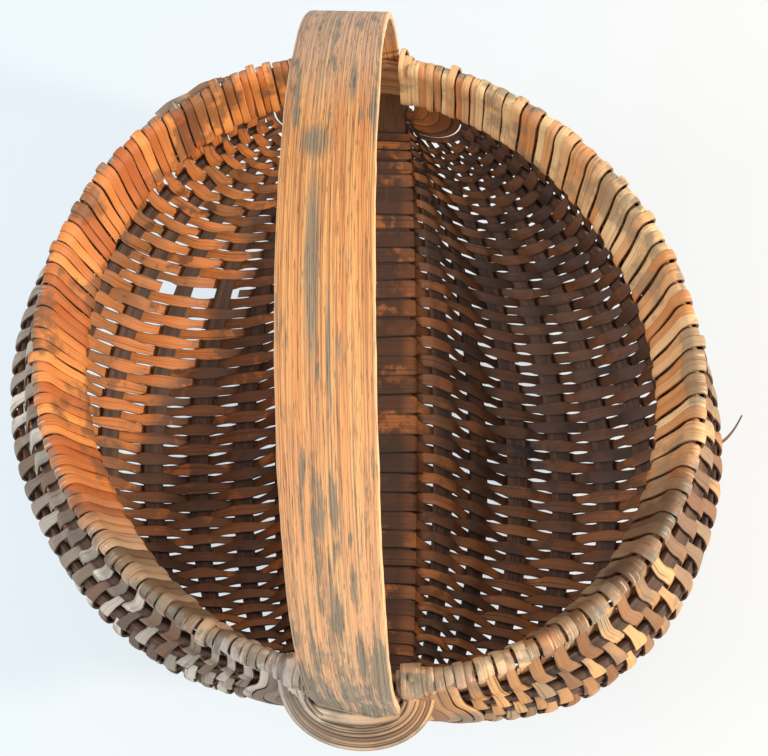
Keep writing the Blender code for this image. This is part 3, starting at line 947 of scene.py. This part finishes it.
def row_stations(row):
    """A row's stations, and where in them each rib's crossing starts."""
    turn, half_turn = row_place(row)
    over, proud = (1, 0.0) if row % 2 else (-1, PAIR_STEP)
    pull = -over * half_turn * (0.13 + 0.22 * drift(row // 2 * 1.3, 8))
    stations, marks = wrap_stations(-1, turn, half_turn, -pull, row, proud), {}
    for place in range(-RIBS_A_SIDE, RIBS_A_SIDE + 1):
        frame_at, thickness = keel_frame, HANDLE_THICKNESS
        if place:
            frame_at = partial(rib_frame, 1 if place > 0 else -1, abs(place) - 1)
            thickness = rib_thickness(turn)
        crossing = cross_stations(frame_at, thickness, over, turn, half_turn, row, place)
        if marks:
            stations += pinch(stations[-1], crossing[0], turn, row * 3.7 + place * 1.9)
        marks[place] = len(stations)
        stations += crossing
        over = -over
    return stations + wrap_stations(1, turn, half_turn, pull, row, proud)[::-1], marks


def lay_row(bm, row, seed):
    """A whole row, or the two ends of one that has broken between two ribs."""
    stations, marks = row_stations(row)
    parts = [stations]
    if row in BROKEN:
        left, right = BROKEN[row]
        left_end, right_start = marks[left] + len(CROSSING) + 1, marks[right] - len(PINCH)
        parts = [stations[:left_end], stations[right_start:]]
    for part in parts:
        lay_strip(bm, part, seed)


print("rows:", ROWS, "of", round(HALF_LENGTH * ROW_TURN * 1000, 2), "mm each")

# %% All rows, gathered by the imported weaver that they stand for
rows_of = {number: [] for number in range(1, WEAVER_COUNT + 1)}
for row in range(ROWS):
    rows_of[1 + int((row + 0.5) * WEAVER_COUNT / ROWS)].append(row)
for number, rows in rows_of.items():
    bm = grained_mesh()
    for row in rows:
        lay_row(bm, row, row * 1.37)
    weaver = splint_piece(f"weaver_rows_{number:02d}", bm)
    settle(weaver, "weaver_splint", f"weaver_{number:02d}")
print("rows by weaver:", {number: len(rows) for number, rows in rows_of.items()})

# %% [markdown]
# ## Ear lashings
# Towards both ears the splint weaves on, narrower, between ribs that run together. The last
# lashing passes outside everything: it wraps the rim, dives under the ribs and the keel, and
# comes up on the other side of the handle. It is laid like a row, with a path of its own.

# %% Lashings
LASHING_GAP, LASHING_WIDTH = 0.0005, 0.84  # over the ribs, and the share of the width there


def outside_stations(turn, half_turn, seed, proud=0.0):
    """Round the left rim, outside the ribs and the keel, and round the right rim."""
    reach = HANDLE_THICKNESS / 2 + LASHING_GAP + SPLINT / 2 + proud

    def outside(frame_at, spread=0):
        points = []
        for v in ACROSS:
            middle, cross, normal, half = frame_at(turn + v * half_turn * LASHING_WIDTH)
            outward = normal * (reach + CROWN * (1 - v * v))
            points.append(middle + cross * half * spread + outward)
        return points, 0.0

    stations = wrap_stations(-1, turn, half_turn, 0, seed, proud)
    stations += [outside(partial(rib_frame, -1, number)) for number in range(RIBS_A_SIDE - 1, 0, -1)]
    stations += [outside(keel_frame, spread) for spread in CROSSING]
    stations += [outside(partial(rib_frame, 1, number)) for number in range(1, RIBS_A_SIDE)]
    return stations + wrap_stations(1, turn, half_turn, 0, seed, proud)[::-1]


for word, sign in (("near", -1), ("far", 1)):
    for number in range(LASHINGS_AN_EAR):
        bm = grained_mesh()
        for second in (0, 1):
            row = ROWS + 2 * number + second if sign > 0 else -1 - 2 * number - second
            if number < LASHINGS_AN_EAR - 1:
                lay_row(bm, row, 90 + row * 1.37)
            else:
                turn, half_turn = row_place(row)
                lay_strip(bm, outside_stations(turn, half_turn, row, CROWN * second), row, 4)
        lashing = splint_piece(f"{word}_lashing_{number + 1}_band", bm)
        settle(lashing, "lashing_splint", f"{word}_lashing_{number + 1}")
print("lashings:", 2 * LASHINGS_AN_EAR)

# %% [markdown]
# ### Bindings close to the handle
# Between the last lashing and the handle each ear is bound once more. At the near ear narrow
# splints hang in a thick bundle, like a U: down the rim's outside, under the foot of the handle
# and up again, with two wider ones above. At the far ear a thin one stands off in a loop.
# A rope simulation could drop such loops into place, but bound splint is pulled tight, so
# each one simply follows a curve of its own.

# %% Splint slung under the handle's foot
# At SLUNG_WRAP the outer finish paints shade towards the strips' edges.
SLUNG_STEPS, SLUNG_WRAP = 20, 0.42  # the finish darkens edges at this share of wrap


def slung_stations(sign, seed, loop, rim_turn, low, out, half_width, proud, tilt):
    """From the left rim down under the handle's foot and up to the right rim, at one ear.

    low and out say how low and how far out it hangs, and tilt how much its face turns up there.
    """
    turn, half_turn = sign * math.radians(rim_turn), half_width / RIM_RADIUS
    left = wrap_stations(-1, turn, half_turn, 0, seed, proud)
    right = wrap_stations(1, turn, half_turn, 0, seed + 3, proud, loop)
    start, end = left[-1][0][2], right[-1][0][2]
    points, levels = [], []
    for step in range(1, SLUNG_STEPS):
        t = step / SLUNG_STEPS
        level = math.sin(math.pi * t) ** 0.8
        point = start.lerp(end, 0.5 - 0.5 * math.cos(math.pi * t))
        point.z = start.z + (low - start.z) * level
        point.y = start.y + (sign * out - start.y) * level
        points.append(point)
        levels.append(level)
    middle = []
    for index, (point, level) in enumerate(zip(points, levels)):
        ahead, behind = points[min(index + 1, len(points) - 1)], points[max(index - 1, 0)]
        sideways = 0.3 * math.copysign(1 - level, point.x)
        normal = Vector((sideways, sign * (1 - 0.4 * tilt * level), tilt * level)).normalized()
        cross = (ahead - behind).cross(normal).normalized() * half_width
        across = [point + cross * v + normal * CROWN * (1 - v * v) for v in ACROSS]
        middle.append((across, SLUNG_WRAP))
    return left + middle + right[::-1]


# Each is (degrees from the middle, low, out, half width, proud, tilt), as slung_stations takes them:
# a wide one behind the bundle, eight narrow ones, and two above them at the handle's foot.
near_ear = [(79.6, -0.058, 0.1770, 0.0062, 0.0006, 0.9)]
for i in range(8):
    sway = drift(i * 1.3, 9)
    low, out = -0.051 + 0.0013 * i - 0.003 * sway, 0.1890 - 0.0014 * i + 0.0012 * sway
    half_width, tilt = 0.0011 + 0.0006 * abs(sway), 0.6 + 0.5 * sway
    near_ear.append((77.9 + 0.6 * i, low, out, half_width, 0.0010 + 0.0003 * i, tilt))
near_ear += [(82.4, -0.0315, 0.1727, 0.0026, 0.0006, 0.5), (80.7, -0.0358, 0.1765, 0.0044, 0.0030, 0.7)]
far_ear = [(82.3, -0.0300, 0.1700, 0.0014, 0.0010, 0.2)]
print("slung at the near ear:", len(near_ear), "and at the far ear:", len(far_ear))

# %% Both ears bound
BANDS, HALF_BAND, THIN_SPLINT = (78.35, 80.0, 81.6), math.radians(1.15), 0.0009
for word, sign, slung, loop in (("near", -1, near_ear, 0.0), ("far", 1, far_ear, 0.0050)):
    bm = grained_mesh()
    for number, degrees in enumerate(BANDS):
        turn = sign * math.radians(degrees)
        strip = outside_stations(turn, HALF_BAND, 210 + number, 0.0003 * number)
        lay_strip(bm, strip, 130 + number * 2.3 * sign, 4)
    for number, shape in enumerate(slung):
        strip = slung_stations(sign, 220 + number, loop, *shape)
        lay_strip(bm, strip, 150 + number * 1.7 * sign, 4)
    binding = splint_piece(f"{word}_ear_binding", bm, THIN_SPLINT)
    settle(binding, "lashing_splint")
    print(binding.name, "has", len(binding.data.polygons), "faces")

# %% [markdown]
# ### Loose ends
# Old splint breaks where it bends most. A worn piece has slipped along the top of the far left
# rim, and one thin end sticks out of the right side. They are short strips like all others,
# so they take the same grain, but they are thinner, as worn splint.

# %% Loose ends
PATCH_STEPS, PATCH_LEAN, LOOSE_WRAP, WORN_SPLINT = 8, math.radians(-8), 0.5, 0.0008


def rim_patch(first_row, last_row, outward, up, half_width):
    """Splint that lies along the left rim instead of round it, from one row to another."""
    start, end = (math.pi - row_place(row)[0] for row in (first_row, last_row))
    stations = []
    for step in range(PATCH_STEPS + 1):
        t = step / PATCH_STEPS
        middle, rise, out = rim_frame(start + (end - start) * t)
        away, height = outward + 0.0012 * math.sin(math.pi * t), up + 0.0008 * drift(t * 3, 4)
        centre = middle + out * away + rise * height
        across = out * math.cos(PATCH_LEAN) + rise * math.sin(PATCH_LEAN)
        across *= half_width * (1 - 0.25 * t)
        stations.append(([centre + across * v for v in ACROSS], LOOSE_WRAP))
    return stations


bm = grained_mesh()
# A half width below 0 turns the strip's outer face up.
lay_strip(bm, rim_patch(54.4, 58.0, 0.0014, HALF_RIM + 0.0034, -0.0028), 300)
lay_strip(bm, rim_patch(57.7, 60.8, 0.0012, HALF_RIM + 0.0038, -0.0024), 301)
root, _, normal, _ = rib_frame(1, 8, row_place(26)[0])
width, stray = Vector((-0.45, 0.75, 0.5)).normalized() * 0.0008, []
for i in range(5):
    point = root + normal * 0.001 + Vector((0.0036 * i, 0.0010 * i + 0.0007 * i * i, 0.0006 * i))
    stray.append(([point + width * v * (1 - 0.18 * i) for v in ACROSS], 0.0))
lay_strip(bm, stray, 302)
ends = splint_piece("loose_splint_ends", bm, WORN_SPLINT)
settle(ends, "weaver_splint")
print("laid", len(ends.data.polygons), "faces of loose splint")

# %% [markdown]
# ## Floor and light
# The basket stands on a pale floor. A small warm lamp stands low on the right like the sun, so
# the left inside wall is bright and the right one falls into shade, and a wide cool lamp on
# the left fills in. A strong sky would make the background white, but would also wash out the
# oak. So only the rays that the camera sees find the floor and the sky nearly white.

# %% Floor
FLOOR_SIZE, WHITE_SHARE = 6, 0.75


def floor_finish():
    """A pale floor that is seen nearly white, and still takes the basket's shadow."""
    pale = Finish("pale_floor", 0.9)
    pale.feed(pale.shader.inputs["Base Color"], (0.80, 0.81, 0.82, 1))
    pale.feed(pale.shader.inputs["Specular IOR Level"], 0.0)
    across = pale.axis(pale.place(), "X").step(-0.25, 0.45)
    seen_white = pale.mix(across, (236, 247, 254), (251, 248, 243))
    white = pale.node("ShaderNodeEmission", {}, {"Color": seen_white, "Strength": 1.0})
    lit = Wire(pale, pale.shader.outputs["BSDF"])
    both = pale.node("ShaderNodeMixShader", {}, {0: pale.seen() * WHITE_SHARE, 1: lit, 2: white})
    pale.feed(pale.tree.nodes["Material Output"].inputs["Surface"], both)
    return pale.material


bm = bmesh.new()
bmesh.ops.create_grid(bm, x_segments=1, y_segments=1, size=FLOOR_SIZE)
floor = new_piece("floor", bm, [floor_finish()])
floor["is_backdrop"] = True
print("the floor reaches", FLOOR_SIZE, "m to each side")

# %% Sky and lamps
DAYLIGHT = 0.70  # the sky's strength on the basket
LAMP_AIM = Vector((0, 0, 0.1))

world = bpy.data.worlds.new("daylight")
bpy.context.scene.world = world
world.use_nodes = True
sky = Nodes(world.node_tree)
strength = sky.node("ShaderNodeMapRange", {}, {"Value": sky.seen(), "To Min": DAYLIGHT, "To Max": 1.0})
backdrop = sky.tree.nodes["Background"]
sky.feed(backdrop.inputs["Color"], (0.93, 0.96, 1.0, 1))
sky.feed(backdrop.inputs["Strength"], strength)


def lamp(name, place, size, power, colour):
    light = bpy.data.lights.new(name, "AREA")
    light.shape, light.size, light.energy, light.color = "DISK", size, power, colour
    holder = bpy.data.objects.new(name, light)
    holder.location = place
    holder.rotation_euler = (LAMP_AIM - Vector(place)).to_track_quat("-Z", "Y").to_euler()
    bpy.context.scene.collection.objects.link(holder)


lamp("window", (1.76, -0.50, 0.97), 0.20, 45, (1.0, 0.93, 0.83))
lamp("fill", (-1.60, -0.30, 1.25), 0.9, 17, (0.96, 0.98, 1.0))
bpy.context.scene.view_settings.view_transform = "Standard"

# %% [markdown]
# ## Camera
# The camera looks steeply down on the basket and is turned a little. Its place could be tried
# by hand, but these numbers come from a fit of the model's rim, handle and ears to the
# photograph, which gives the same view each time.

# %% Camera
DISTANCE, ELEVATION = 0.599, math.radians(68.656)
AZIMUTH, ROLL = math.radians(11.661), math.radians(-11.938)
FOCAL_PIXELS, IMAGE_WIDTH, SENSOR_WIDTH = 1235.5, 768, 36
AIM = Vector((0.01273, -0.02013, 0)) + LIFT

level = math.cos(ELEVATION)
back = Vector((math.sin(AZIMUTH) * level, -math.cos(AZIMUTH) * level, math.sin(ELEVATION)))
right = (-back).cross(UP).normalized()
top = right.cross(-back)
turned_right = right * math.cos(ROLL) + top * math.sin(ROLL)
turned_top = -right * math.sin(ROLL) + top * math.cos(ROLL)
axes = Matrix((turned_right, turned_top, back)).transposed().to_4x4()
lens = bpy.data.cameras.new("photo_angle")
lens.sensor_width, lens.lens = SENSOR_WIDTH, SENSOR_WIDTH * FOCAL_PIXELS / IMAGE_WIDTH
camera = bpy.data.objects.new("photo_angle", lens)
camera.matrix_world = Matrix.Translation(AIM + back * DISTANCE) @ axes
bpy.context.scene.collection.objects.link(camera)
bpy.context.scene.camera = camera
print("lens", round(lens.lens, 1), "mm")

# %% [markdown]
# ## Bounds
# A loose splint may stand past the imported model, but only by a little. Both boxes are kept in
# sizes, the imported one as it was before any piece was laid, and the visual one is printed.

# %% Bounds
sizes = {"cad": CAD_BOX, "visual": [list(corner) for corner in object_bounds()]}
print("visual box", [[round(v * 1000, 1) for v in corner] for corner in sizes["visual"]])
